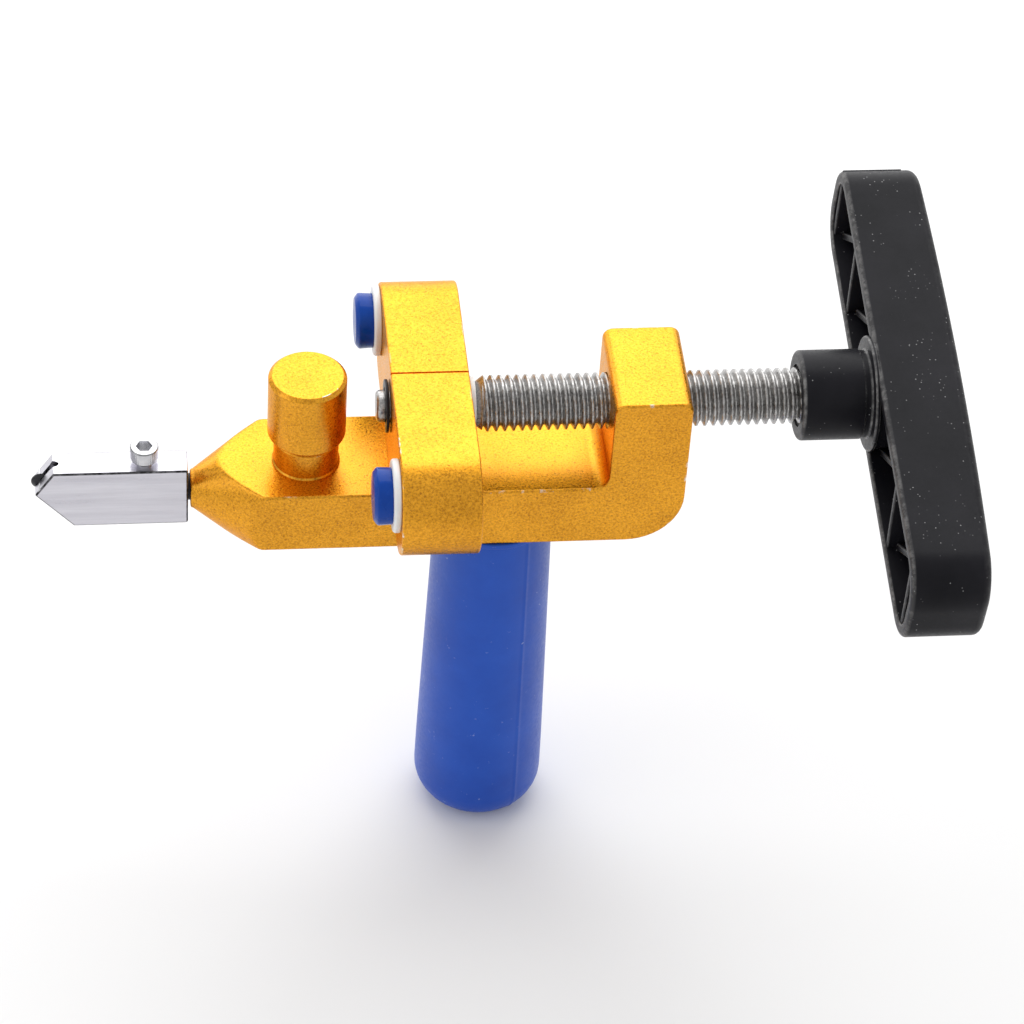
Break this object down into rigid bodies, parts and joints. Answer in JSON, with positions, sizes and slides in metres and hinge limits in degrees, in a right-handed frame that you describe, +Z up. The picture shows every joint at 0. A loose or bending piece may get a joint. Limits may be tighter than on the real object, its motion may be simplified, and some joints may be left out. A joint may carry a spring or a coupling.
{
  "type": "hand-held glass cutter and breaker",
  "caption": "Hand-held glass cutter: wheel head on a bar nose, breaking post, screw-driven padded crossbar with tee handle, and a hanging grip.",
  "frame": {"origin": "middle of the sheet seat: the bar's top face between the breaking post and the crossbar, on the mid-plane", "axes": "+X along the bar from the cutting wheel to the tee handle, +Z up out of the bar's top face, away from the grip"},
  "size_m": [0.1848, 0.1095, 0.1292],
  "materials": {
    "gold_anodised": "bead-blasted, gold anodised",
    "steel": "plain steel",
    "head_metal": "satin plated",
    "carbide": "ground carbide",
    "zinc_steel": "zinc plated",
    "black_steel": "black oxide",
    "white_plastic": "plain nylon",
    "blue_pad": "glossy",
    "black_plastic": "satin moulded",
    "blue_grip": "satin moulded",
    "brass": "machined"
  },
  "bodies": {
    "frame": {"frame_body": "gold_anodised", "head_stem": "steel", "cutter_head": "head_metal", "wheel_axle": "steel", "head_clamp_screw": "steel", "breaking_post": "gold_anodised", "post_stud": "steel", "grip": "blue_grip", "grip_insert": "brass", "grip_stud": "steel"},
    "wheel": {"cutting_wheel": "carbide"},
    "slider": {"crossbar": "gold_anodised", "pad_base_near": "white_plastic", "pad_base_far": "white_plastic", "pad_near": "blue_pad", "pad_far": "blue_pad", "pad_screw_near": "steel", "pad_screw_far": "steel"},
    "screw": {"lead_screw": "zinc_steel", "retaining_clip": "black_steel", "thrust_washer": "zinc_steel", "tee_handle": "black_plastic"}
  },
  "joints": [
    {"name": "crossbar_slide", "type": "slide", "parent": "frame", "child": "slider", "axis": [1, 0, 0], "range_m": [-0.00481, 0.02494]},
    {"name": "screw_turn", "type": "hinge", "parent": "slider", "child": "screw", "pos_m": [0.064, 0, 0.0131], "axis": [1, 0, 0], "range_deg": [-990.5, 5130.5]},
    {"name": "wheel_spin", "type": "hinge", "parent": "frame", "child": "wheel", "pos_m": [-0.0648, 0, -0.0046], "axis": [0, 1, 0], "continuous": true}
  ],
  "couplings": [
    {"joint": "screw_turn", "follows": "crossbar_slide", "rad_per_m": 3590.4}
  ]
}
